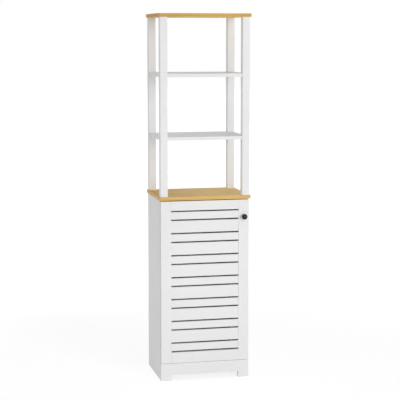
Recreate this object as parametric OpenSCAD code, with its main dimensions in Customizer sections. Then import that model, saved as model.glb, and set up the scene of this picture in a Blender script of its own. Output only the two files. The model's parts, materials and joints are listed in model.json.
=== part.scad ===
// Slim bathroom tower: a slatted-door cabinet below, an open stand with two shelves above.
// Millimetres, +Z up, front towards -Y. The origin is the bottom centre of the whole object's box.
// The door hangs on two concealed 95 degree hinges at its left edge.

/* [Overall] */
// Width of the two wood-look boards
board_w = 400; // [360:5:520]
// Depth of the two wood-look boards
board_d = 300; // [260:5:400]
// Height from the floor to the top board's upper face
total_h = 1580; // [1520:5:1800]
// Height from the floor to the cabinet board's upper face
cabinet_h = 804; // [760:4:900]
// Thickness of the two wood-look boards
board_t = 15; // [15:0.5:22]
// How far the boards stand out past the sides
side_overhang = 5; // [0:0.5:12]
// How far the boards stand out past the door
front_overhang = 5; // [0:0.5:12]
// Bevel that breaks every long edge
arris = 0.8; // [0.3:0.1:1.5]

/* [Open stand] */
// Side of a square post
post_s = 32; // [28:1:42]
// Radius of a post's eased edges
post_edge_r = 2; // [0.5:0.5:4]
// Thickness of an open shelf
open_shelf_t = 15; // [15:0.5:20]
// How far an open shelf's edges lie inside the posts' outer faces
open_shelf_inset = 5; // [0:0.5:8]
// Height of the lower open shelf's upper face
lower_shelf_h = 1059; // [960:1:1160]
// Height of the upper open shelf's upper face
upper_shelf_h = 1327; // [1240:1:1430]

/* [Cabinet] */
// Thickness of the side panels, the bottom panel and the wall rail
panel_t = 15; // [15:0.5:18]
// Thickness of the back panel
back_t = 3; // [2.5:0.5:6]
// Depth of the back panel's grooves
groove_depth = 6; // [4:0.5:8]
// Height of the apron
apron_h = 76; // [60:1:100]
// Thickness of the apron
apron_t = 15; // [12:0.5:18]
// Height of the cut-out under the apron
apron_cut_h = 25; // [15:1:40]
// Width of a foot beside the cut-out
foot_w = 46; // [30:1:70]
// How far the bottom panel stands above the apron
bottom_rise = 8; // [4:1:15]
// Height of the wall rail
wall_rail_h = 60; // [50:1:90]
// Distance between the two wall screw holes
wall_hole_pitch = 240; // [160:10:260]
// Diameter of a wall screw hole
wall_hole_d = 5; // [4:0.5:7]
// Height of the inner shelf's upper face
inner_shelf_h = 440; // [330:1:560]
// Thickness of the inner shelf
inner_shelf_t = 15; // [12:0.5:18]
// Gap beside the inner shelf
inner_shelf_play = 1; // [0.5:0.5:2]
// Distance from the inner shelf's front edge to the carcass front
inner_shelf_setback = 22; // [15:1:60]

/* [Door] */
// Thickness of the door
door_t = 15; // [15:0.5:18]
// Gap between the door's back and the carcass
door_gap = 2; // [2:0.1:3]
// How far the door's edges lie inside the sides' outer faces
door_reveal = 1; // [0.5:0.5:2]
// Gap above the door
door_top_gap = 4; // [2:0.5:6]
// Gap below the door
door_bottom_gap = 1.5; // [1:0.5:5]
// Width of a stile
stile_w = 45; // [42:1:60]
// Height of the top rail
top_rail_h = 41; // [35:0.5:70]
// Height of the bottom rail
bottom_rail_h = 47.5; // [35:0.5:70]
// Number of slats
slat_count = 13; // [9:2:15]
// Height of a narrow slat, every other one from the top
narrow_slat_h = 32; // [20:1:36]
// Height of a slot between slats
slot_h = 6; // [3:0.5:8]
// Thickness of a slat
slat_t = 7; // [5:0.5:7.5]
// How far the slats lie behind the stiles' front
slat_setback = 3; // [2:0.5:5]
// Length of a tenon
tenon = 6; // [4:0.5:7]
// Clearance of a tenon in its mortise
tenon_fit = 0.1; // [0.05:0.05:0.3]

/* [Knob] */
// Diameter of the knob's head
knob_d = 24; // [20:1:34]
// Distance from the door's front to the knob's crown
knob_len = 21; // [18:1:32]
// Diameter of the knob's neck
knob_neck_d = 10; // [9:0.5:14]
// Diameter of the knob's foot
knob_foot_d = 17; // [14:0.5:19]
// Distance from the door's top to the knob's middle
knob_drop = 74; // [60:1:200]
// Thread diameter of the knob's screw
knob_screw_d = 4; // [3:0.5:5]

/* [Hinges] */
// Distance from a door end to the middle of its hinge
hinge_offset = 95; // [75:1:130]
// Diameter of a hinge cup
cup_d = 35; // [35:0.5:36]
// Depth of a hinge cup in the door
cup_depth = 12; // [11.8:0.1:12.5]
// Distance from the carcass front to the row of screws and pins
row_setback = 37; // [34:1:45]
// Diameter of a hinge's thick pins
pin_d = 3; // [2.4:0.1:3]
// Radial clearance of a pin in a link
pin_play = 0.05; // [0.03:0.01:0.08]

/* [Fittings] */
// Diameter of a cam lock
cam_d = 15; // [12:0.5:15]
// Depth of a cam lock's bore
cam_depth = 12; // [10:0.5:12.5]
// Distance from a joint to the middle of its cam lock
cam_reach = 24; // [20:1:30]
// Diameter of a cam bolt's bore
cam_bore_d = 8; // [7:0.5:8]
// Diameter of a cam bolt's thread
cam_thread_d = 5; // [4:0.5:6]
// Depth of a cam bolt's thread
cam_thread_depth = 11; // [9:0.5:12]
// Diameter of a dowel
dowel_d = 8; // [6:0.5:8]
// Length of a dowel
dowel_len = 28; // [24:1:32]
// Depth of a dowel in the face of a panel
dowel_face_depth = 10; // [8:0.5:11]
// Diameter of a frame screw's thread
frame_screw_d = 6; // [5:0.5:7]
// Length of a frame screw
frame_screw_len = 60; // [50:1:70]
// Diameter of a frame screw's head
frame_head_d = 12; // [10:0.5:13]
// Radial clearance of a fitting in its bore
fit = 0.05; // [0.02:0.01:0.1]

/* [Hidden] */
$fn = 48;
// How far a cutting shape runs past the face that it cuts
over = 1;
// How far a fitting stays short of the bottom of its bore
bore_rest = 0.5;

// Planes, from front to back
total_d = board_d + knob_len - front_overhang;
back_y = total_d / 2;
board_y = back_y - board_d;
face_y = board_y + front_overhang;
door_back_y = face_y + door_t;
carcass_y = door_back_y + door_gap;
back_panel_y = back_y - panel_t - back_t;

// Planes, from side to side
side_x = board_w / 2 - side_overhang;
inner_x = side_x - panel_t;
door_x = side_x - door_reveal;
opening_x = door_x - stile_w;

// Heights
top_under = total_h - board_t;
carcass_h = cabinet_h - board_t;
bottom_top = apron_h + bottom_rise;
door_z0 = apron_h + door_bottom_gap;
door_z1 = carcass_h - door_top_gap;
opening_z0 = door_z0 + bottom_rail_h;
opening_z1 = door_z1 - top_rail_h;

// Slats: odd ones from the top are narrow, the wide ones share what is left
narrow_count = ceil(slat_count / 2);
wide_count = floor(slat_count / 2);
slats_sum = opening_z1 - opening_z0 - (slat_count + 1) * slot_h;
wide_slat_h = (slats_sum - narrow_count * narrow_slat_h) / wide_count;

// Posts and their screws
post_cx = side_x - post_s / 2;
post_cy = [face_y + post_s / 2, back_y - post_s / 2];
under_inset = frame_head_d / 2 + 2;
under_x = inner_x - under_inset;
under_y = [face_y + post_s - under_inset, back_y - post_s + under_inset];
frame_head_t = 2.5;
frame_head_bevel = 0.4;
screw_tip = 1.5;
screw_tip_taper = 1;
socket_d = 4.6;
socket_depth = 1.6;

// Rows of pin holes in the sides
front_row_y = carcass_y + row_setback;
back_row_y = back_panel_y - row_setback;
pin_hole_d = 5;
pin_hole_depth = 9;
pin_hole_pitch = 32;
shelf_pin_z = inner_shelf_h - inner_shelf_t - pin_hole_d / 2;
tab_len = 8;
tab_t = 1.6;
tab_rim = 1.5;
back_panel_play = 0.5;

// Wall rail
wall_rail_z = carcass_h - wall_rail_h;
wall_hole_z = carcass_h - wall_rail_h / 2;

// Knob
knob_x = door_x - stile_w / 2;
knob_z = door_z1 - knob_drop;
knob_thread_depth = 9;
knob_screw_reach = 7;
knob_head_d = 8;
knob_head_t = 2.4;
knob_foot_t = 2;
knob_foot_bevel = 0.8;
knob_flare_h = 4;
knob_neck_z = 6.2;
knob_dome_h = 6.5;
knob_lip_r = 1.4;
knob_lip_drop = 2;
knob_waist_curve = 2.2;

// Hinges. A pivot is [distance in from the side's inner face, distance behind the door's back].
arm_pivot_1 = [16.5, -7.9];
cup_pivot_1 = [-3.4, -6.8];
arm_pivot_2 = [20, 10.7];
cup_pivot_2 = [-5.8, -1.8];
cup_centre = 6.5;
wing_centre = 16;
wing_pitch = 45;
wing_t = 1.2;
wing_w = 10;
wing_ear_r = 5.5;
rim_d = 37.4;
cup_wall = 0.9;
cup_floor = 0.8;
cup_rest = 0.02;
pocket_half = 7;
// A cup's pins run this far to each side of its middle, into the pocket's walls
pin_reach = 7.5;
core_half = 2.5;
cheek_in = 2.8;
cheek_out = 4.6;
arm_in = 4.9;
arm_out = 6.4;
small_pin_d = 2.4;
link_end_r = 2.9;
link_half_w = 1.9;
link_bend_r = 2;
// The links are cranked so that they clear the side's front edge and the cup's rim as the door swings
outer_link_bends = [[4.5, -8.6], [10, -8.7]];
inner_link_bends = [[-1.2, -3.2], [3.5, -1.2]];
// The second link's slot takes up the difference between its real path and a steady ratio
slot_r = pin_d / 2 + 0.9;
slot_half = 1.2;
slot_along = 0.1;
slot_across = -0.28;
slot_wall = 1.2;
bridge_r = 1.1;
// Keeps a slot's flanks off the corners of its round ends
sliver = 0.02;
small_eye_r = 2.4;
rail_top = 9.5;
web_t = 1.5;
rail_len = [20, 56];
wing_plate_t = 2;
// Where the screws that hold an arm on its plate stand
arm_screw_places = [rail_len[0] + 12, rail_len[1] - 6];
plate_pitch = 32;
hinge_screw_d = 4;
hinge_screw_head_d = 7.6;
hinge_screw_head_t = 1.8;
arm_screw_head_d = 6.8;
cup_screw_d = 3.5;
cup_screw_len = 11.5;
cup_screw_head_d = 6.8;
cup_screw_head_t = 1.4;
cross_w = 0.8;
screw_bevel = 0.8;
cross_depth = 1;
plate_wing_h = 12;
plate_ear_r = 6.5;
plate_screw_room = 0.3;
plate_screw_depth = 12;
screw_foot = 2;
arm_foot = 2.3;
arm_toe = 3;
arm_eye_r = 3.1;
arm_web_start = 7;
arm_end_over = 1;
pin_head = 0.4;
// Corners of an arm's cheek, as steps from its two pins
arm_crown = [[2.4, 1.8], [2.6, -2]];
arm_nose = [[2.7, 0.8], [-2.6, 1]];
arm_throat = [-4.8, -5];
hinge_heights = [door_z0 + hinge_offset, door_z1 - hinge_offset];

// Bumpers
bumper_d = 9;
bumper_play = 0.3;
bumper_inset = 30;
bumper_rim_t = 0.9;
bumper_bevel = 0.8;

// Dowels and cam fittings
dowel_bevel = 1;
bolt_collar_t = 2;
bolt_neck_start = 3;
bolt_head_t = 3;
bolt_bevel = 1;
bolt_collar_play = 0.3;
bolt_head_play = 0.8;
bolt_neck_play = 0.4;
lock_short = 0.3;
lock_cross_w = 1.4;
lock_cross_depth = 1.6;
lock_passage_back = 3;

// How far a tenon's block reaches back into its rail or slat
tenon_root = 2;

// Where the fittings sit: distances from a piece's front and back edges, or shares of its height
bottom_bolt_inset = [60, 50];
top_bolt_inset = [70, 70];
top_dowel_inset = [25, 25];
bottom_dowel_inset = [25, 20];
rail_dowel_share = [0.27, 0.73];
apron_dowel_share = [0.3, 0.75];
rail_tenon_inset = 6;

white = [0.93, 0.93, 0.92];
oak = [0.84, 0.68, 0.42];
black = [0.09, 0.09, 0.09];
zinc = [0.72, 0.73, 0.75];
beech = [0.83, 0.7, 0.5];
rubber = [0.86, 0.87, 0.88];

// Joints of the fittings: [place, turn]. Local +Z runs into the face of the mating piece.
function shelf_joints(h) = [
  for (row = [0, 1], side = [-1, 1])
    [[side * (side_x - post_s), post_cy[row], h - open_shelf_t / 2], side_turn(side)]
];
function side_turn(side) = side > 0 ? [0, 90, 0] : [0, 90, 180];
function row_ys(inset) = [carcass_y + inset[0], back_panel_y - inset[1]];
bottom_joints = [
  for (y = row_ys(bottom_bolt_inset), side = [-1, 1])
    [[side * inner_x, y, bottom_top - panel_t / 2], side_turn(side)]
];
top_joints = [
  for (y = row_ys(top_bolt_inset), side = [-1, 1])
    [[side * (inner_x + panel_t / 2), y, carcass_h], side > 0 ? [0, 0, 180] : [0, 0, 0]]
];
all_joints = concat(shelf_joints(lower_shelf_h), shelf_joints(upper_shelf_h), bottom_joints, top_joints);

// Dowels: [place, turn]. Local +Z runs into the face, -Z into the end or edge.
top_dowels = [
  for (y = row_ys(top_dowel_inset), side = [-1, 1])
    [[side * (inner_x + panel_t / 2), y, carcass_h], [0, 0, 0]]
];
bottom_dowels = [
  for (y = row_ys(bottom_dowel_inset), side = [-1, 1])
    [[side * inner_x, y, bottom_top - panel_t / 2], side_turn(side)]
];
rail_dowels = [
  for (share = rail_dowel_share, side = [-1, 1])
    [[side * inner_x, back_y - panel_t / 2, wall_rail_z + share * wall_rail_h], side_turn(side)]
];
apron_dowels = [
  for (share = apron_dowel_share, side = [-1, 1])
    [[side * (inner_x + panel_t / 2), carcass_y, share * apron_h], [90, 0, 0]]
];
all_dowels = concat(top_dowels, bottom_dowels, rail_dowels, apron_dowels);

function slat_h(i) = i % 2 == 0 ? narrow_slat_h : wide_slat_h;
function slat_z(i) =
  opening_z1 - (i + 1) * slot_h - ceil((i + 1) / 2) * narrow_slat_h - floor((i + 1) / 2) * wide_slat_h;
function slat_name(i) = str("door_slat_", i < 9 ? "0" : "", i + 1);

// A panel with a small bevel along every edge
module bevelled(w, h) {
  polygon([
    [arris, 0], [w - arris, 0], [w, arris], [w, h - arris],
    [w - arris, h], [arris, h], [0, h - arris], [0, arris]
  ]);
}

module panel(size) {
  intersection() {
    linear_extrude(size[2]) bevelled(size[0], size[1]);
    translate([0, size[1], 0]) rotate([90, 0, 0]) linear_extrude(size[1]) bevelled(size[0], size[2]);
    rotate([90, 0, 90]) linear_extrude(size[0]) bevelled(size[1], size[2]);
  }
}

module at_joints(joints) {
  for (j = joints) translate(j[0]) rotate(j[1]) children();
}

// Bores that a cam fitting needs, in both pieces
module cam_bores(joints) {
  at_joints(joints) {
    cylinder(d = cam_thread_d, h = cam_thread_depth);
    translate([0, 0, -cam_reach]) cylinder(d = cam_bore_d, h = cam_reach);
    translate([panel_t / 2 - cam_depth, 0, -cam_reach]) rotate([0, 90, 0])
      cylinder(d = cam_d, h = panel_t);
  }
}

module dowel_bores(joints) {
  at_joints(joints) translate([0, 0, dowel_face_depth - dowel_len]) cylinder(d = dowel_d, h = dowel_len);
}

module top_screw_bores() {
  for (x = [-post_cx, post_cx], y = post_cy)
    translate([x, y, total_h]) frame_screw_bore();
}

module under_screw_bores() {
  for (x = [-under_x, under_x], y = under_y)
    translate([x, y, carcass_h]) mirror([0, 0, 1]) frame_screw_bore();
}

// The head's seat opens upwards, the shank runs down through the board into a post
module frame_screw_bore() {
  translate([0, 0, -frame_head_t]) cylinder(d = frame_head_d + 2 * fit, h = frame_head_t + over);
  translate([0, 0, -frame_screw_len]) cylinder(d = frame_screw_d + 2 * fit, h = frame_screw_len);
}

module frame_screw() {
  difference() {
    rotate_extrude() polygon([
      [0, 0], [frame_head_d / 2 - frame_head_bevel, 0], [frame_head_d / 2, -frame_head_bevel],
      [frame_head_d / 2, -frame_head_t], [frame_screw_d / 2, -frame_head_t],
      [frame_screw_d / 2, bore_rest + screw_tip - frame_screw_len],
      [frame_screw_d / 2 - screw_tip_taper, bore_rest - frame_screw_len], [0, bore_rest - frame_screw_len]
    ]);
    translate([0, 0, -socket_depth]) cylinder(d = socket_d, h = socket_depth + over, $fn = 6);
  }
}

module top_board() {
  color(oak) difference() {
    translate([-board_w / 2, board_y, top_under]) panel([board_w, board_d, board_t]);
    top_screw_bores();
  }
}

module cabinet_board() {
  color(oak) difference() {
    translate([-board_w / 2, board_y, carcass_h]) panel([board_w, board_d, board_t]);
    under_screw_bores();
    cam_bores(top_joints);
    dowel_bores(top_dowels);
  }
}

// A square with round corners
module post_section() {
  square([post_s - 2 * post_edge_r, post_s], center = true);
  square([post_s, post_s - 2 * post_edge_r], center = true);
  for (x = [-1, 1], y = [-1, 1])
    translate([x * (post_s / 2 - post_edge_r), y * (post_s / 2 - post_edge_r)]) circle(r = post_edge_r);
}

module post(side, row) {
  color(white) difference() {
    translate([side * post_cx, post_cy[row], cabinet_h])
      linear_extrude(top_under - cabinet_h) post_section();
    top_screw_bores();
    under_screw_bores();
    cam_bores(shelf_joints(lower_shelf_h));
    cam_bores(shelf_joints(upper_shelf_h));
  }
}

// A shelf whose corners are notched round the posts
module open_shelf(h) {
  shelf_x = side_x - open_shelf_inset;
  shelf_y = [face_y + open_shelf_inset, back_y - open_shelf_inset];
  color(white) difference() {
    translate([-shelf_x, shelf_y[0], h - open_shelf_t])
      panel([2 * shelf_x, shelf_y[1] - shelf_y[0], open_shelf_t]);
    for (x = [-post_cx, post_cx], y = post_cy)
      translate([x - post_s / 2, y - post_s / 2, h - open_shelf_t - over])
        cube([post_s, post_s, open_shelf_t + 2 * over]);
    cam_bores(shelf_joints(h));
  }
}

module back_groove() {
  translate([-inner_x - groove_depth, back_panel_y - fit, 0])
    cube([2 * (inner_x + groove_depth), back_t + 2 * fit, carcass_h + over]);
}

// Rows of holes for the shelf pins, three heights
module pin_rows(side) {
  for (y = [front_row_y, back_row_y], k = [-1, 0, 1])
    translate([side * inner_x, y, shelf_pin_z + k * pin_hole_pitch])
      rotate([0, 90, side > 0 ? 0 : 180]) cylinder(d = pin_hole_d, h = pin_hole_depth);
}

module side_panel(side) {
  x = side > 0 ? inner_x : -side_x;
  color(white) difference() {
    translate([x, carcass_y, 0]) panel([panel_t, back_y - carcass_y, carcass_h]);
    translate([0, 0, bottom_top - panel_t]) back_groove();
    pin_rows(side);
    cam_bores(top_joints);
    cam_bores(bottom_joints);
    dowel_bores(all_dowels);
    if (side < 0) plate_screw_bores();
  }
}

module bottom_panel() {
  color(white) difference() {
    translate([-inner_x, carcass_y, bottom_top - panel_t])
      panel([2 * inner_x, back_panel_y - carcass_y, panel_t]);
    cam_bores(bottom_joints);
    dowel_bores(bottom_dowels);
  }
}

module wall_holes() {
  for (x = [-1, 1])
    translate([x * wall_hole_pitch / 2, back_panel_y - over, wall_hole_z]) rotate([-90, 0, 0])
      cylinder(d = wall_hole_d, h = panel_t + back_t + 2 * over);
}

module back_panel() {
  edge = inner_x + groove_depth - back_panel_play;
  color(white) difference() {
    translate([-edge, back_panel_y, bottom_top - panel_t])
      cube([2 * edge, back_t, carcass_h - bottom_top + panel_t]);
    wall_holes();
  }
}

module wall_rail() {
  color(white) difference() {
    translate([-inner_x, back_panel_y + back_t, wall_rail_z]) panel([2 * inner_x, panel_t, wall_rail_h]);
    wall_holes();
    dowel_bores(rail_dowels);
  }
}

module apron() {
  cut_w = 2 * (side_x - foot_w);
  color(white) difference() {
    translate([-side_x, carcass_y - apron_t, 0]) panel([2 * side_x, apron_t, apron_h]);
    translate([-cut_w / 2, carcass_y - apron_t - over, -over])
      cube([cut_w, apron_t + 2 * over, apron_cut_h + over]);
    dowel_bores(apron_dowels);
  }
}

module inner_shelf() {
  front = carcass_y + inner_shelf_setback;
  color(white)
    translate([inner_shelf_play - inner_x, front, inner_shelf_h - inner_shelf_t])
      panel([2 * (inner_x - inner_shelf_play), back_panel_y - front - inner_shelf_play, inner_shelf_t]);
}

// Round pins in the side panels, each with a flat tab under the shelf
module shelf_pins() {
  r = pin_hole_d / 2;
  color(zinc)
    for (side = [-1, 1], y = [front_row_y, back_row_y])
      translate([side * inner_x, y, shelf_pin_z]) union() {
        rotate([0, side > 0 ? 90 : -90, 0]) translate([0, 0, -tab_len])
          cylinder(r = r - fit, h = pin_hole_depth + tab_len - bore_rest);
        translate([side > 0 ? -tab_len : 0, -r - tab_rim, r - tab_t])
          cube([tab_len, 2 * (r + tab_rim), tab_t]);
      }
}

module dowels() {
  r = dowel_d / 2 - fit;
  b = dowel_bevel;
  z0 = dowel_face_depth - dowel_len + bore_rest;
  z1 = dowel_face_depth - bore_rest;
  color(beech)
    at_joints(all_dowels)
      rotate_extrude() polygon([[0, z0], [r - b, z0], [r, z0 + b], [r, z1 - b], [r - b, z1], [0, z1]]);
}

module cam_bolts() {
  thread_r = cam_thread_d / 2 - fit;
  collar_r = cam_bore_d / 2 - bolt_collar_play;
  head_r = cam_bore_d / 2 - bolt_head_play;
  neck_r = cam_thread_d / 2 - bolt_neck_play;
  b = bolt_bevel;
  tip = cam_thread_depth - bore_rest;
  head_z = bolt_head_t - b - cam_reach;
  color(zinc)
    at_joints(all_joints)
      rotate_extrude() polygon([
        [0, tip], [thread_r - b, tip], [thread_r, tip - b], [thread_r, 0],
        [collar_r, 0], [collar_r, -bolt_collar_t], [neck_r, -bolt_neck_start], [neck_r, head_z + b],
        [head_r, head_z], [head_r, head_z - bolt_head_t], [head_r - b, head_z - bolt_head_t - b],
        [0, head_z - bolt_head_t - b]
      ]);
}

// A disc with a cross slot in its face and a passage for the bolt's head
module cam_locks() {
  lock_h = cam_depth - lock_short;
  color(zinc)
    at_joints(all_joints)
      translate([panel_t / 2 - cam_depth, 0, -cam_reach]) rotate([0, 90, 0])
        difference() {
          cylinder(d = cam_d - 2 * fit, h = lock_h);
          translate([0, 0, cam_depth - panel_t / 2]) rotate([0, -90, 0])
            translate([0, 0, -lock_passage_back]) cylinder(d = cam_bore_d - bolt_bevel, h = cam_d);
          for (a = [0, 90])
            rotate(a) translate([-cam_d / 4, -lock_cross_w / 2, lock_h - lock_cross_depth])
              cube([cam_d / 2, lock_cross_w, lock_cross_depth + over]);
        }
}

module frame_screws() {
  color(zinc) {
    for (x = [-post_cx, post_cx], y = post_cy)
      translate([x, y, total_h]) frame_screw();
    for (x = [-under_x, under_x], y = under_y)
      translate([x, y, carcass_h]) mirror([0, 0, 1]) frame_screw();
  }
}

// The tenon of a rail or slat, in the middle of the door's thickness
module tenon_block(x, z, h, play) {
  translate([x, face_y + slat_setback - play, z - play])
    cube([tenon + (play > 0 ? over : 0), slat_t + 2 * play, h + 2 * play]);
}

module mortises(side) {
  x = side > 0 ? opening_x - over : -opening_x - tenon;
  for (i = [0 : slat_count - 1]) tenon_block(x, slat_z(i), slat_h(i), tenon_fit);
  tenon_block(x, opening_z1 + rail_tenon_inset, top_rail_h - 2 * rail_tenon_inset, tenon_fit);
  tenon_block(x, door_z0 + rail_tenon_inset, bottom_rail_h - 2 * rail_tenon_inset, tenon_fit);
}

module door_stile(side) {
  x = side > 0 ? opening_x : -door_x;
  color(white) difference() {
    translate([x, face_y, door_z0]) panel([stile_w, door_t, door_z1 - door_z0]);
    mortises(side);
    if (side > 0) knob_screw_bore();
    if (side < 0) for (z = hinge_heights) at_hinge(z) {
      translate([cup_centre, -cup_depth, 0]) hinge_bore(cup_d / 2, cup_depth + over);
      for (k = [-1, 1])
        translate([wing_centre, wing_t - cup_screw_len - bore_rest, k * wing_pitch / 2])
          hinge_bore(cup_screw_d / 2, cup_screw_len + over);
    }
  }
}

// Rails and slats run between the stiles and into them
module door_bar(z, h, depth, setback, tenon_inset) {
  color(white) union() {
    translate([-opening_x, face_y + setback, z]) panel([2 * opening_x, depth, h]);
    for (x = [tenon_fit - opening_x - tenon, opening_x - tenon_root])
      translate([x, face_y + slat_setback, z + tenon_inset])
        cube([tenon + tenon_root - tenon_fit, slat_t, h - 2 * tenon_inset]);
  }
}

module door_rail_top() {
  door_bar(opening_z1, top_rail_h, door_t, 0, rail_tenon_inset);
}

module door_rail_bottom() {
  door_bar(door_z0, bottom_rail_h, door_t, 0, rail_tenon_inset);
}

module door_slat(i) {
  door_bar(slat_z(i), slat_h(i), slat_t, slat_setback, 0);
}

module knob_screw_bore() {
  translate([knob_x, face_y - over, knob_z]) rotate([-90, 0, 0])
    cylinder(d = knob_screw_d + 2 * fit, h = door_t + 2 * over);
}

// A foot, a waisted neck and a domed mushroom head; local +Z points out of the door
module knob() {
  r = knob_d / 2;
  neck_r = knob_neck_d / 2;
  foot_r = knob_foot_d / 2;
  lip = knob_lip_r;
  edge_z = knob_len - knob_dome_h;
  flare = foot_r - neck_r - knob_foot_bevel;
  flare_z = knob_neck_z - knob_flare_h;
  cap = r - neck_r - lip;
  cap_h = edge_z - knob_lip_drop - knob_neck_z;
  steps = [0.2 : 0.2 : 1];
  lip_angles = [-60 : 30 : 0];
  dome_angles = [8 : 8 : 88];
  color(black)
    translate([knob_x, face_y, knob_z]) rotate([90, 0, 0]) difference() {
      rotate_extrude() polygon(concat(
        [[0, 0], [foot_r, 0]],
        [[foot_r, knob_foot_t - knob_foot_bevel], [foot_r - knob_foot_bevel, knob_foot_t]],
        [for (t = steps) [neck_r + flare * pow(1 - t, 2), flare_z + knob_flare_h * t]],
        [for (t = steps) [neck_r + cap * pow(t, knob_waist_curve), knob_neck_z + cap_h * t]],
        [for (a = lip_angles) [r - lip + lip * cos(a), edge_z + lip * sin(a)]],
        [for (a = dome_angles) [r * cos(a), edge_z + knob_dome_h * sin(a)]],
        [[0, knob_len]]
      ));
      translate([0, 0, -over]) cylinder(d = knob_screw_d + 2 * fit, h = knob_thread_depth + over);
    }
}

module knob_screw() {
  color(zinc)
    translate([knob_x, door_back_y, knob_z]) rotate([90, 0, 0])
      cross_screw(knob_screw_d / 2, knob_head_d / 2, knob_head_t, door_t + knob_screw_reach);
}

// Soft discs that meet the right side panel's edge
module door_bumpers() {
  color(rubber)
    for (z = [door_z0 + bumper_inset, door_z1 - bumper_inset])
      translate([inner_x + panel_t / 2, door_back_y, z]) rotate([-90, 0, 0])
        rotate_extrude() polygon([
          [0, 0], [bumper_d / 2, 0], [bumper_d / 2, bumper_rim_t],
          [bumper_d / 2 - bumper_bevel, door_gap - bumper_play], [0, door_gap - bumper_play]
        ]);
}

// A hinge's frame: x in from the side panel, y back from the door, z from the hinge's middle
module at_hinge(z) {
  translate([-inner_x, door_back_y, z]) children();
}

// A bore along the hinge frame's y
module hinge_bore(r, h) {
  rotate([-90, 0, 0]) cylinder(r = r, h = h);
}

// A hinge pin along z
module pin(p, r, z0, z1) {
  translate([p[0], p[1], z0]) cylinder(r = r, h = z1 - z0);
}

// Outlines of the links and of the arm's cheeks
module eye(p, r) {
  translate(p) circle(r = r);
}

module bar(p, q, half_w) {
  d = q - p;
  translate(p) rotate(atan2(d[1], d[0])) translate([0, -half_w]) square([norm(d), 2 * half_w]);
}

// A bent strip through a row of points
module strip(points) {
  for (i = [1 : len(points) - 1]) bar(points[i - 1], points[i], link_half_w);
  for (i = [1 : len(points) - 2]) eye(points[i], link_bend_r);
}

// A pair of like plates, one on each side of the hinge's middle
module cheeks(z_in, z_out) {
  for (z0 = [z_in, -z_out]) translate([0, 0, z0]) linear_extrude(z_out - z_in) children();
}

module hinge_cup(z) {
  color(zinc) at_hinge(z) union() {
    difference() {
      union() {
        translate([cup_centre, cup_rest - cup_depth, 0]) hinge_bore(cup_d / 2 - fit, cup_depth);
        translate([cup_centre, 0, 0]) hinge_bore(rim_d / 2, wing_t);
        translate([wing_centre - wing_w / 2, 0, -wing_pitch / 2]) cube([wing_w, wing_t, wing_pitch]);
        for (k = [-1, 1])
          translate([wing_centre, 0, k * wing_pitch / 2]) hinge_bore(wing_ear_r, wing_t);
      }
      intersection() {
        translate([cup_centre, cup_floor - cup_depth, 0]) hinge_bore(cup_d / 2 - cup_wall, 2 * cup_depth);
        translate([cup_centre - cup_d, cup_floor - cup_depth, -pocket_half])
          cube([2 * cup_d, 2 * cup_depth, 2 * pocket_half]);
      }
      for (k = [-1, 1])
        translate([wing_centre, -over, k * wing_pitch / 2])
          hinge_bore(cup_screw_d / 2 + fit, wing_t + 2 * over);
    }
    pin(cup_pivot_1, pin_d / 2, -pin_reach, pin_reach);
    pin(cup_pivot_2, small_pin_d / 2, cheek_in, pin_reach);
    pin(cup_pivot_2, small_pin_d / 2, -pin_reach, -cheek_in);
  }
}

module cup_screws() {
  color(zinc)
    for (z = hinge_heights) at_hinge(z)
      for (k = [-1, 1])
        translate([wing_centre, wing_t, k * wing_pitch / 2]) rotate([90, 0, 0])
          cross_screw(cup_screw_d / 2 - fit, cup_screw_head_d / 2, cup_screw_head_t, cup_screw_len);
}

module plate_screw_bores() {
  for (z = hinge_heights) at_hinge(z)
    for (k = [-1, 1])
      translate([0, door_gap + row_setback, k * plate_pitch / 2]) rotate([0, -90, 0])
        cylinder(d = hinge_screw_d, h = plate_screw_depth + bore_rest);
}

module hinge_plate(z) {
  y = door_gap + row_setback;
  color(zinc) at_hinge(z) difference() {
    union() {
      translate([0, rail_len[0], -cheek_out])
        cube([rail_top, rail_len[1] - rail_len[0], 2 * cheek_out]);
      translate([0, y - plate_wing_h / 2, -plate_pitch / 2])
        cube([wing_plate_t, plate_wing_h, plate_pitch]);
      for (k = [-1, 1])
        translate([0, y, k * plate_pitch / 2]) rotate([0, 90, 0])
          cylinder(r = plate_ear_r, h = wing_plate_t);
    }
    for (k = [-1, 1])
      translate([-over, y, k * plate_pitch / 2]) rotate([0, 90, 0])
        cylinder(d = hinge_screw_d + plate_screw_room, h = wing_plate_t + 2 * over);
    for (v = arm_screw_places)
      translate([screw_foot, v, 0]) rotate([0, 90, 0]) cylinder(d = hinge_screw_d, h = rail_top);
  }
}

// A channel over the plate's rail, with two cheeks that reach into the cup
module hinge_arm(z) {
  web_out = rail_top + web_t;
  web_y = rail_len[0] + arm_web_start;
  end_y = rail_len[1] + arm_end_over;
  color(zinc) at_hinge(z) difference() {
    union() {
      cheeks(arm_in, arm_out) {
        polygon(concat(
          [[arm_foot, end_y], [web_out, end_y], [web_out, web_y]],
          [for (step = arm_crown) arm_pivot_2 + step],
          [for (step = arm_nose) arm_pivot_1 + step],
          [arm_pivot_2 + arm_throat, [arm_foot, rail_len[0] - arm_toe]]
        ));
        eye(arm_pivot_1, link_end_r);
        eye(arm_pivot_2, arm_eye_r);
      }
      translate([rail_top, web_y, -arm_out]) cube([web_t, end_y - web_y, 2 * arm_out]);
      for (p = [arm_pivot_1, arm_pivot_2]) pin(p, pin_d / 2, -arm_out - pin_head, arm_out + pin_head);
    }
    for (v = arm_screw_places)
      translate([rail_top - over, v, 0]) rotate([0, 90, 0])
        cylinder(d = hinge_screw_d + plate_screw_room, h = web_t + 2 * over);
  }
}

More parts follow.
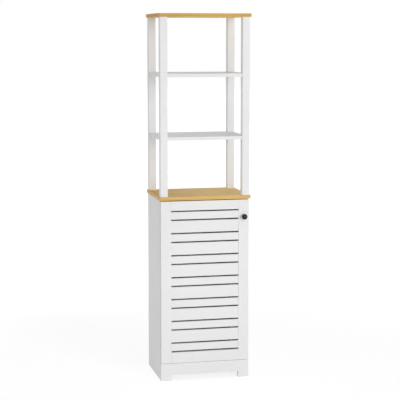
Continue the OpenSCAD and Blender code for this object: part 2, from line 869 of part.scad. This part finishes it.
module plate_screws() {
  r = hinge_screw_d / 2 - fit;
  web_out = rail_top + web_t;
  color(zinc)
    for (z = hinge_heights) at_hinge(z) {
      for (k = [-1, 1])
        translate([wing_plate_t, door_gap + row_setback, k * plate_pitch / 2]) rotate([0, -90, 0])
          cross_screw(r, hinge_screw_head_d / 2, hinge_screw_head_t, wing_plate_t + plate_screw_depth);
      for (v = arm_screw_places)
        translate([web_out, v, 0]) rotate([0, -90, 0])
          cross_screw(r, arm_screw_head_d / 2, hinge_screw_head_t, web_out - screw_foot - bore_rest);
    }
}

// A screw with a cross in its head: the head lies behind z = 0, the shank runs along +Z
module cross_screw(r, head_r, head_t, len) {
  b = screw_bevel;
  difference() {
    rotate_extrude() polygon([
      [0, -head_t], [head_r - b, -head_t], [head_r, b - head_t], [head_r, 0],
      [r, 0], [r, len - b], [r - b, len], [0, len]
    ]);
    for (a = [0, 90])
      rotate(a) translate([-head_r / 2, -cross_w / 2, -head_t - over])
        cube([head_r, cross_w, cross_depth + over]);
  }
}

// The middle link, between the arm's lower pin and the cup's deeper pin
module outer_link(z) {
  pivots = [arm_pivot_1, cup_pivot_1];
  color(zinc) at_hinge(z)
    translate([0, 0, -core_half]) linear_extrude(2 * core_half) difference() {
      union() {
        for (p = pivots) eye(p, link_end_r);
        strip([cup_pivot_1, outer_link_bends[0], outer_link_bends[1], arm_pivot_1]);
      }
      for (p = pivots) eye(p, pin_d / 2 + pin_play);
    }
}

// Two cheeks either side of the middle link, with a slot at the arm's upper pin
module inner_link(z) {
  d = arm_pivot_2 - cup_pivot_2;
  e = d / norm(d);
  n = [-e[1], e[0]];
  mid = arm_pivot_2 + slot_along * e + slot_across * n;
  ends = [mid - slot_half * e, mid + slot_half * e];
  color(zinc) at_hinge(z) union() {
    cheeks(cheek_in, cheek_out) difference() {
      union() {
        eye(cup_pivot_2, small_eye_r);
        strip([cup_pivot_2, inner_link_bends[0], inner_link_bends[1], arm_pivot_2]);
        for (p = ends) eye(p, slot_r + slot_wall);
      }
      eye(cup_pivot_2, small_pin_d / 2 + pin_play);
      for (p = ends) eye(p, slot_r);
      bar(ends[0], ends[1], slot_r - sliver);
    }
    pin(ends[1] + (slot_r + slot_wall) * e, bridge_r, -cheek_out, cheek_out);
  }
}

top_board();
cabinet_board();
post(-1, 0);  // post_front_left
post(1, 0);  // post_front_right
post(-1, 1);  // post_back_left
post(1, 1);  // post_back_right
open_shelf(upper_shelf_h);  // upper_shelf
open_shelf(lower_shelf_h);  // lower_shelf
side_panel(-1);  // side_panel_left
side_panel(1);  // side_panel_right
bottom_panel();
back_panel();
wall_rail();
apron();
inner_shelf();
shelf_pins();
dowels();
cam_bolts();
cam_locks();
frame_screws();
door_stile(-1);  // door_stile_left
door_stile(1);  // door_stile_right
door_rail_top();
door_rail_bottom();
for (i = [0 : slat_count - 1])
  door_slat(i);
knob();
knob_screw();
door_bumpers();
hinge_cup(hinge_heights[1]);  // hinge_cup_upper
hinge_cup(hinge_heights[0]);  // hinge_cup_lower
cup_screws();
hinge_plate(hinge_heights[1]);  // hinge_plate_upper
hinge_plate(hinge_heights[0]);  // hinge_plate_lower
hinge_arm(hinge_heights[1]);  // hinge_arm_upper
hinge_arm(hinge_heights[0]);  // hinge_arm_lower
plate_screws();
outer_link(hinge_heights[1]);  // outer_link_upper
outer_link(hinge_heights[0]);  // outer_link_lower
inner_link(hinge_heights[1]);  // inner_link_upper
inner_link(hinge_heights[0]);  // inner_link_lower
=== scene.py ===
import json
import math

import bmesh
import bpy
from bpy.props import FloatProperty, FloatVectorProperty, PointerProperty
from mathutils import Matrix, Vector


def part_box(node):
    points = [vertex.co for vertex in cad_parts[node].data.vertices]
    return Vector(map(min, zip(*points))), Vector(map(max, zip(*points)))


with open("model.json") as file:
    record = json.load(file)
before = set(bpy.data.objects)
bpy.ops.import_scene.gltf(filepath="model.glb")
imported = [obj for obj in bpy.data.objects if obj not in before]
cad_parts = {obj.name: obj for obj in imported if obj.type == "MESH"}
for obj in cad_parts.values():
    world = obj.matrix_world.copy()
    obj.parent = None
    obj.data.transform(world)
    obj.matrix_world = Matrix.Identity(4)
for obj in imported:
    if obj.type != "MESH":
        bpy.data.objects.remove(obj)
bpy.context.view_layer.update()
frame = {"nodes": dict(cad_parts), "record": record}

bl_info = {
    "name": "Linen cabinet",
    "version": (1, 0, 0),
    "blender": (4, 5, 0),
    "location": "View3D > Sidebar > Linen cabinet",
    "description": "Finishes and studio for a slim bathroom tower with a slatted door",
    "category": "Object",
}

SCREWS_AND_PINS = ("shelf_pins", "frame_screws", "knob_screw", "plate_screws", "cup_screws")
CAM_FITTINGS = ("cam_locks", "cam_bolts")

# Numbers of the sockets of a Mix node that mixes colours.
MIX_FACTOR, MIX_FIRST, MIX_SECOND, MIX_RESULT = 0, 6, 7, 2

# A face looks along an axis when its normal has more than this share of it.
FACING = 0.7

# The door's front face lies within this depth, in metres. Its joints show the joint's colour by this share.
FRONT_SKIN = 0.0005
JOINT_COVER = 0.6

# The printed tone is made of growth lines, fine strands and broad bands.
LINE_SHARE, STRAND_SHARE, BAND_SHARE = 0.4, 0.3, 0.4

# The top board's foil is darkened as painted shade, for the weaker light towards the top. It lies at least
# this far above the cabinet board, in metres.
TOP_BOARD_PAINTED_SHADE = 0.2
ABOVE_CABINET_BOARD = 0.1

# The boards' upper and lower faces are painted lighter than their edges, and lighter still to the right,
# per metre, as painted light and shade across the faces.
FACE_PAINTED_LIGHT = 0.34
PAINTED_LIGHT_TO_RIGHT = 2.8

# How much of the print the pores and the edge strips' hairline hide, and half that hairline's width.
PORE_COVER = 0.35
SEAM_COVER = 0.7
SEAM_HALF = 0.00012

# The lamps by their settings' names: place, target and width, in metres.
LAMPS = {
    "key": ((7.6, -16.9, 8.0), (0, 0, 0.8), 9.0),
    "front": ((7.0, -15.0, 2.0), (0, 0, 0.8), 5.0),
    "side": ((-12.0, -3.0, 1.5), (0, 0, 0.8), 5.0),
    "low": ((0.2, -2.3, 0.25), (0, 0, 0.3), 1.0),
}

# The camera's sensor in millimetres, and the nearest and furthest that it sees, in metres.
SENSOR_WIDTH = 36
CLIP_START, CLIP_END = 0.05, 200

# The floor glows a little less near the cabinet, and as the background does further out. It changes between
# these two squares of the distance from the cabinet's middle.
FLOOR_FADE = (0.8, 6.0)
FLOOR_GLOW_NEAR = 0.82
FLOOR_GRID = 4


def screen(red, green, blue):
    """A colour as a screen shows it, 0 to 255, turned into the linear values that shaders use."""
    values = [c / 255 for c in (red, green, blue)]
    return tuple(c / 12.92 if c <= 0.04045 else ((c + 0.055) / 1.055) ** 2.4 for c in values)


def swatch(name, description, *rgb):
    return FloatVectorProperty(name=name, description=description, subtype="COLOR", size=3, min=0, max=1,
                               default=screen(*rgb))


def length(name, description, default):
    return FloatProperty(name=name, description=description, unit="LENGTH", subtype="DISTANCE", min=0,
                         default=default)


def share(name, description, default):
    return FloatProperty(name=name, description=description, subtype="FACTOR", min=0, max=1,
                         default=default)


def angle(name, description, degrees):
    return FloatProperty(name=name, description=description, subtype="ANGLE", default=math.radians(degrees))


def power(name, place, default):
    return FloatProperty(name=name, description=f"Power of the lamp {place}, in watts", min=0,
                         default=default)


# Settings


class LinenCoating(bpy.types.PropertyGroup):
    """The satin white coating of the posts, shelves, carcass and door."""

    colour: swatch("White", "Colour of the coating", 240, 240, 240)
    shaded: swatch("Shaded white", "Colour of the coating where it is a little thicker", 235, 235, 235)
    roughness: share("Roughness", "Roughness of the satin coating", 0.42)
    peel: length("Orange peel", "Height of the ripple that a spray gun leaves", 0.00003)
    joint: swatch("Joint", "Colour of the coating in the door's fine joints", 150, 150, 148)
    joint_half: length("Half joint width", "Half the width of a fine joint", 0.0004)


class LinenWoodLook(bpy.types.PropertyGroup):
    """The printed wood-look foil of the top board and the cabinet board."""

    light: swatch("Early wood", "Lightest colour of the printed grain", 250, 214, 137)
    dark: swatch("Late wood", "Colour of the printed growth lines", 200, 149, 67)
    pore: swatch("Pores", "Colour of the printed pores", 150, 108, 58)
    seam: swatch("Edge seam", "Colour of the hairline where the edge strips meet the faces", 140, 104, 62)
    roughness: share("Roughness", "Roughness of the foil", 0.5)
    ring: length("Growth line spacing", "Usual distance from one growth line to the next", 0.016)
    strip: length("Edge strip", "Thickness of the strips along the boards' edges", 0.001)


class LinenKnob(bpy.types.PropertyGroup):
    """The knob's satin black lacquer."""

    colour: swatch("Black", "Colour of the lacquer", 14, 14, 15)
    roughness: share("Roughness", "Roughness of the lacquer", 0.3)


class LinenHardware(bpy.types.PropertyGroup):
    """Nickel, zinc, beech and soft plastic of the fittings."""

    nickel: swatch("Nickel", "Colour of the plated hinges", 205, 203, 198)
    zinc: swatch("Cast zinc", "Colour of the cam fittings", 168, 170, 172)
    steel: swatch("Plated steel", "Colour of the screws and pins", 196, 199, 204)
    beech: swatch("Beech", "Colour of the dowels", 217, 184, 138)
    bumper: swatch("Bumper", "Colour of the soft door bumpers", 222, 225, 228)


class LinenStudio(bpy.types.PropertyGroup):
    """Camera, lamps and floor."""

    eye: FloatVectorProperty(name="Camera place", description="Where the camera stands",
                             subtype="TRANSLATION", size=3, default=(-1.2101, -5.3652, 1.480))
    pitch: angle("Camera pitch", "How far the camera looks down", 7.354)
    yaw: angle("Camera yaw", "How far the camera looks to the right", 12.792)
    lens: FloatProperty(name="Lens", description="Focal length in millimetres", min=10, default=113.59)
    key: power("Key lamp", "high at the front right", 510)
    front: power("Front lamp", "lower at the front right", 633)
    side: power("Side lamp", "at the left", 223)
    low: power("Low lamp", "near the floor", 5.7)
    sky: FloatProperty(name="Room light", description="Strength of the light from all round", min=0,
                       default=0.45)
    floor_half: length("Floor", "Half the width of the floor", 30)


GROUPS = (
    ("linen_coating", LinenCoating),
    ("linen_wood_look", LinenWoodLook),
    ("linen_knob", LinenKnob),
    ("linen_hardware", LinenHardware),
    ("linen_studio", LinenStudio),
)


# Materials


class Wire:
    """A socket of a material, so that masks can be added and multiplied as plain expressions."""

    def __init__(self, paint, socket):
        self.paint, self.socket = paint, socket

    def _math(self, operation, *values):
        return self.paint.node("Math", {"operation": operation}, dict(enumerate(values)))

    def __add__(self, other):
        return self._math("ADD", self, other)

    def __radd__(self, other):
        return self._math("ADD", other, self)

    def __sub__(self, other):
        return self._math("SUBTRACT", self, other)

    def __rsub__(self, other):
        return self._math("SUBTRACT", other, self)

    def __mul__(self, other):
        return self._math("MULTIPLY", self, other)

    def __rmul__(self, other):
        return self._math("MULTIPLY", other, self)

    def __gt__(self, other):
        return self._math("GREATER_THAN", self, other)

    def __lt__(self, other):
        return self._math("LESS_THAN", self, other)

    def __abs__(self):
        return self._math("ABSOLUTE", self)

    def between(self, low, high):
        """0 below low, 1 above high and a soft step in between."""
        return self.paint.node("MapRange", {"interpolation_type": "SMOOTHSTEP"},
                               {"Value": self, "From Min": low, "From Max": high})


class Paint:
    """The nodes of a material or of the world, put together from nothing."""

    def __init__(self, holder):
        holder.use_nodes = True
        self.holder, self.tree = holder, holder.node_tree
        self.tree.nodes.clear()

    def node(self, kind, settings=None, inputs=None, output=0):
        made = self.tree.nodes.new("ShaderNode" + kind)
        for key, value in (settings or {}).items():
            setattr(made, key, value)
        for key, value in (inputs or {}).items():
            self.feed(made.inputs[key], value)
        return Wire(self, made.outputs[output]) if made.outputs else None

    def feed(self, socket, value):
        if isinstance(value, Wire):
            self.tree.links.new(value.socket, socket)
        elif isinstance(value, (int, float)):
            socket.default_value = value
        else:
            value = tuple(value)
            socket.default_value = value + (1.0,) * (len(socket.default_value) - len(value))

    def place(self, output="Object"):
        """The spot on the piece in the cabinet's own frame, or with "Normal" the way the face looks."""
        return self.node("TexCoord", output=output)

    def parts(self, vector):
        """A vector's X, Y and Z."""
        split = self.node("SeparateXYZ", inputs={0: vector})
        return [Wire(self, s) for s in split.socket.node.outputs]

    def vector(self, x, y, z):
        return self.node("CombineXYZ", inputs={0: x, 1: y, 2: z})

    def noise(self, vector, scale=1.0, detail=2.0, roughness=0.5):
        return self.node("TexNoise", inputs={"Vector": vector, "Scale": scale, "Detail": detail,
                                             "Roughness": roughness})

    def streaks(self, directions, per_metre, **settings):
        """Noise with its own number of marks in a metre along each of three directions."""
        stretched = [way * marks for way, marks in zip(directions, per_metre)]
        return self.noise(self.vector(*stretched), **settings)

    def mix(self, factor, first, second):
        """Colours from first to second as factor goes from 0 to 1."""
        return self.node("Mix", {"data_type": "RGBA"},
                         {MIX_FACTOR: factor, MIX_FIRST: first, MIX_SECOND: second}, MIX_RESULT)

    def bump(self, height, distance, strength=1.0):
        return self.node("Bump", inputs={"Height": height, "Distance": distance, "Strength": strength})

    def shader(self, **sockets):
        """The piece's shader. Names of sockets have _ for each space."""
        inputs = {key.replace("_", " "): value for key, value in sockets.items()}
        return self.node("BsdfPrincipled", inputs=inputs)

    def finish(self, surface, output="OutputMaterial"):
        self.node(output, inputs={"Surface": surface})
        return self.holder


def new_paint(name):
    return Paint(bpy.data.materials.new(name))


def toned(colour, factor, lift=0.0):
    """A darker or lighter tone of a colour."""
    return [c * factor + lift for c in colour]


def satin_white(settings, name="satin_white", joint_x=None):
    """Sprayed satin coating: nearly even, with slow changes of tone and a faint ripple.

    joint_x is how far from the middle the coating shows the fine joints between rails and stiles."""
    paint = new_paint(name)
    spot = paint.place()
    slow = paint.noise(spot, scale=2.6, detail=3)
    ripple = paint.noise(spot, scale=420, detail=2)
    tooth = paint.noise(spot, scale=2600, detail=1)
    colour = paint.mix(slow.between(0.35, 0.75), settings.colour, settings.shaded)
    rough = settings.roughness - 0.04 + 0.08 * slow + 0.03 * tooth
    relief = ripple + 0.25 * tooth
    if joint_x:
        x, y, z = paint.parts(spot)
        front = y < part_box("door_stile_left")[0].y + FRONT_SKIN
        seam = (abs(abs(x) - joint_x) < settings.joint_half) * front
        colour = paint.mix(JOINT_COVER * seam, colour, settings.joint)
        relief = relief - 4 * seam
    normal = paint.bump(relief, distance=settings.peel, strength=0.35)
    return paint.finish(paint.shader(Base_Color=colour, Roughness=rough, Normal=normal,
                                     Specular_IOR_Level=0.45))


def wood_look(settings):
    """Printed foil: grain runs left to right, and front to back on the short edges' own strips."""
    paint = new_paint("wood_look")
    x, y, z = paint.parts(paint.place())
    facing = paint.parts(paint.place("Normal"))
    end = abs(facing[0]) > FACING
    flat = abs(facing[2]) > FACING
    low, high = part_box("cabinet_board")
    middle = (low + high) / 2

    along = x + end * (y - x)
    across = y + end * (x - y)
    drift = paint.streaks((along, across, z), (1.6, 3, 3))
    grain = (along, across + 0.03 * drift, z)
    rings = 1 / settings.ring
    growth = paint.streaks(grain, (0.9, rings, rings), detail=3, roughness=0.6)
    strand = paint.streaks(grain, (7, 9 * rings, 9 * rings), detail=3, roughness=0.6)
    bands = paint.streaks(grain, (1.3, 24, 9)).between(0.34, 0.66)
    pores = paint.streaks(grain, (60, 2200, 2200), detail=1).between(0.62, 0.74)

    lines = growth.between(0.36, 0.68)
    drawn = LINE_SHARE * lines + STRAND_SHARE * strand.between(0.3, 0.7) + BAND_SHARE * bands
    # The top board is darkened here as painted shade.
    top_board = z > high.z + ABOVE_CABINET_BOARD
    # The upper and lower faces are lightened as painted light, more so to the right.
    tone = drawn + TOP_BOARD_PAINTED_SHADE * top_board - flat * (FACE_PAINTED_LIGHT + PAINTED_LIGHT_TO_RIGHT * x)
    colour = paint.mix(tone, settings.light, settings.dark)
    colour = paint.mix(PORE_COVER * pores, colour, settings.pore)

    inset_x = high.x - abs(x - middle.x)
    inset_y = high.y - middle.y - abs(y - middle.y)
    seam = (abs(inset_x - settings.strip) < SEAM_HALF) + (abs(inset_y - settings.strip) < SEAM_HALF)
    colour = paint.mix(SEAM_COVER * seam, colour, settings.seam)
    rough = settings.roughness + 0.07 * strand + 0.08 * pores
    normal = paint.bump(0.35 * strand - 0.65 * pores - seam, distance=0.00006, strength=0.5)
    return paint.finish(paint.shader(Base_Color=colour, Roughness=rough, Normal=normal,
                                     Specular_IOR_Level=0.25))


def satin_black(settings):
    """The knob's lacquer."""
    paint = new_paint("satin_black")
    spot = paint.place()
    grain = paint.noise(spot, scale=1500)
    slow = paint.noise(spot, scale=60)
    colour = paint.mix(slow.between(0.3, 0.8), settings.colour, toned(settings.colour, 1.5, lift=0.002))
    normal = paint.bump(grain, distance=0.00002, strength=0.4)
    return paint.finish(paint.shader(Base_Color=colour, Roughness=settings.roughness + 0.1 * grain,
                                     Normal=normal, Specular_IOR_Level=0.3))


def plated(name, colour, rough, streak=(300, 300, 300)):
    """Metal with fine marks. streak is how close the marks lie along X, Y and Z."""
    paint = new_paint(name)
    marks = paint.streaks(paint.parts(paint.place()), streak, detail=4, roughness=0.6)
    slow = paint.noise(paint.place(), scale=40)
    tone = paint.mix(slow.between(0.35, 0.75), colour, toned(colour, 0.82))
    normal = paint.bump(marks, distance=0.00001, strength=0.5)
    return paint.finish(paint.shader(Base_Color=tone, Metallic=1.0, Roughness=rough + 0.14 * (marks - 0.5),
                                     Normal=normal))


def bare_beech(settings):
    """Turned dowels: short flecks along the grain."""
    paint = new_paint("bare_beech")
    flecks = paint.streaks(paint.parts(paint.place()), (300, 1500, 1500), detail=3, roughness=0.6)
    colour = paint.mix(flecks.between(0.4, 0.75), settings.beech, toned(settings.beech, 0.7))
    normal = paint.bump(flecks, distance=0.00005, strength=0.5)
    return paint.finish(paint.shader(Base_Color=colour, Roughness=0.6 + 0.1 * flecks, Normal=normal))


def soft_plastic(settings):
    """The clear bumpers that the door closes on."""
    paint = new_paint("soft_plastic")
    haze = paint.noise(paint.place(), scale=700)
    colour = paint.mix(haze, settings.bumper, toned(settings.bumper, 0.88))
    return paint.finish(paint.shader(Base_Color=colour, Roughness=0.2 + 0.1 * haze, Coat_Weight=0.4,
                                     Coat_Roughness=0.1))


def cover(material, names):
    """Gives CAD nodes a material in every slot that they have."""
    for name in names:
        for held in frame["nodes"][name].material_slots:
            held.material = material


def in_slot(slot):
    return [row["node"] for row in frame["record"]["subparts"] if row["material_slot"] == slot]


# Pieces


class LINEN_OT_coat_boards(bpy.types.Operator):
    """Gives the posts, shelves, carcass and door their satin white coating"""

    bl_idname = "linen.coat_boards"
    bl_label = "Coat the white pieces"

    def execute(self, context):
        settings = context.scene.linen_coating
        names = in_slot("white_board")
        door_frame = [n for n in names if n.startswith(("door_stile", "door_rail"))]
        cover(satin_white(settings), [n for n in names if n not in door_frame])
        joint_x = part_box("door_stile_right")[0].x
        cover(satin_white(settings, "satin_white_door", joint_x), door_frame)
        return {"FINISHED"}


class LINEN_OT_wood_boards(bpy.types.Operator):
    """Gives the top board and the cabinet board their wood-look foil"""

    bl_idname = "linen.wood_boards"
    bl_label = "Print the wood-look boards"

    def execute(self, context):
        cover(wood_look(context.scene.linen_wood_look), in_slot("wood_look_board"))
        return {"FINISHED"}


class LINEN_OT_knob(bpy.types.Operator):
    """Lacquers the door knob"""

    bl_idname = "linen.knob"
    bl_label = "Lacquer the knob"

    def execute(self, context):
        cover(satin_black(context.scene.linen_knob), in_slot("knob_finish"))
        return {"FINISHED"}


class LINEN_OT_hardware(bpy.types.Operator):
    """Plates the hinges, cam fittings, screws and pins"""

    bl_idname = "linen.hardware"
    bl_label = "Plate the hardware"

    def execute(self, context):
        settings = context.scene.linen_hardware
        names = in_slot("hardware")
        hinges = [n for n in names if n not in SCREWS_AND_PINS + CAM_FITTINGS]
        cover(plated("nickel_plate", settings.nickel, rough=0.26, streak=(900, 120, 900)), hinges)
        cover(plated("cast_zinc", settings.zinc, rough=0.42), CAM_FITTINGS)
        cover(plated("plated_steel", settings.steel, rough=0.3, streak=(700, 700, 700)), SCREWS_AND_PINS)
        return {"FINISHED"}


class LINEN_OT_small_parts(bpy.types.Operator):
    """Finishes the beech dowels and the soft door bumpers"""

    bl_idname = "linen.small_parts"
    bl_label = "Finish dowels and bumpers"

    def execute(self, context):
        settings = context.scene.linen_hardware
        cover(bare_beech(settings), in_slot("dowel_wood"))
        cover(soft_plastic(settings), in_slot("bumper"))
        return {"FINISHED"}


# Studio


def add_lamp(scene, name, place, target, size, watts):
    """A round lamp that looks from its place at a target."""
    data = bpy.data.lights.new(name, "AREA")
    data.shape = "DISK"
    data.size = size
    data.energy = watts
    lamp = bpy.data.objects.new(name, data)
    lamp.location = place
    lamp.rotation_euler = (Vector(target) - Vector(place)).to_track_quat("-Z", "Y").to_euler()
    scene.collection.objects.link(lamp)


def seen_white(paint):
    """1 for a ray by which the camera, a mirror or glass sees the background, and 0 for any other."""
    rays = paint.node("LightPath").socket.node.outputs
    kinds = ("Is Camera Ray", "Is Glossy Ray", "Is Transmission Ray")
    not_camera, not_glossy, not_transmission = [1 - Wire(paint, rays[kind]) for kind in kinds]
    return 1 - not_camera * not_glossy * not_transmission


def pale_floor():
    """A white floor that keeps the cabinet's shadow near it and fades into the background further out."""
    paint = new_paint("pale_floor")
    x, y, z = paint.parts(paint.place())
    away = (x * x + y * y).between(*FLOOR_FADE)
    white = seen_white(paint)
    grey = paint.mix(white, screen(238, 238, 238), screen(150, 150, 150))
    matt = paint.node("BsdfDiffuse", inputs={"Color": grey})
    level = FLOOR_GLOW_NEAR + (1 - FLOOR_GLOW_NEAR) * away
    glow = paint.node("Emission", inputs={"Color": (1, 1, 1), "Strength": white * level})
    return paint.finish(paint.node("AddShader", inputs={0: matt, 1: glow}))


def white_room(strength):
    """Even light from all round, in front of a background that is seen as white."""
    paint = Paint(bpy.data.worlds.new("studio"))
    level = strength + (1 - strength) * seen_white(paint)
    sky = paint.node("Background", inputs={"Color": (1, 1, 1), "Strength": level})
    return paint.finish(sky, "OutputWorld")


def add_floor(scene, settings):
    shape = bmesh.new()
    bmesh.ops.create_grid(shape, x_segments=FLOOR_GRID, y_segments=FLOOR_GRID, size=settings.floor_half)
    mesh = bpy.data.meshes.new("studio_floor")
    shape.to_mesh(mesh)
    shape.free()
    mesh.materials.append(pale_floor())
    floor = bpy.data.objects.new("studio_floor", mesh)
    scene.collection.objects.link(floor)


def add_camera(scene, settings):
    data = bpy.data.cameras.new("camera")
    data.sensor_width = SENSOR_WIDTH
    data.lens = settings.lens
    data.clip_start, data.clip_end = CLIP_START, CLIP_END
    camera = bpy.data.objects.new("camera", data)
    camera.location = settings.eye
    camera.rotation_euler = (math.pi / 2 - settings.pitch, 0, -settings.yaw)
    scene.collection.objects.link(camera)
    scene.camera = camera


class LINEN_OT_studio(bpy.types.Operator):
    """Sets up the pale floor, the soft lamps and the camera"""

    bl_idname = "linen.studio"
    bl_label = "Set up the studio"

    def execute(self, context):
        scene = context.scene
        settings = scene.linen_studio
        scene.view_settings.view_transform = "Standard"
        scene.world = white_room(settings.sky)
        add_floor(scene, settings)
        for name, (place, target, size) in LAMPS.items():
            add_lamp(scene, f"{name}_lamp", place, target, size, getattr(settings, name))
        add_camera(scene, settings)
        return {"FINISHED"}


PIECES = (
    LINEN_OT_coat_boards,
    LINEN_OT_wood_boards,
    LINEN_OT_knob,
    LINEN_OT_hardware,
    LINEN_OT_small_parts,
    LINEN_OT_studio,
)


class LINEN_PT_cabinet(bpy.types.Panel):
    """Lists the cabinet's settings and pieces"""

    bl_label = "Linen cabinet"
    bl_idname = "LINEN_PT_cabinet"
    bl_space_type = "VIEW_3D"
    bl_region_type = "UI"
    bl_category = "Linen cabinet"

    def draw(self, context):
        for name, group in GROUPS:
            column = self.layout.column(heading=group.__doc__)
            for key in group.__annotations__:
                column.prop(getattr(context.scene, name), key)
        for piece in PIECES:
            self.layout.operator(piece.bl_idname)


def register():
    for name, group in GROUPS:
        bpy.utils.register_class(group)
        setattr(bpy.types.Scene, name, PointerProperty(type=group))
    for piece in PIECES:
        bpy.utils.register_class(piece)
    bpy.utils.register_class(LINEN_PT_cabinet)


def unregister():
    bpy.utils.unregister_class(LINEN_PT_cabinet)
    for piece in reversed(PIECES):
        bpy.utils.unregister_class(piece)
    for name, group in reversed(GROUPS):
        delattr(bpy.types.Scene, name)
        bpy.utils.unregister_class(group)


def main():
    register()
    for piece in PIECES:
        group, name = piece.bl_idname.split(".")
        getattr(getattr(bpy.ops, group), name)()


if __name__ == "__main__":
    main()
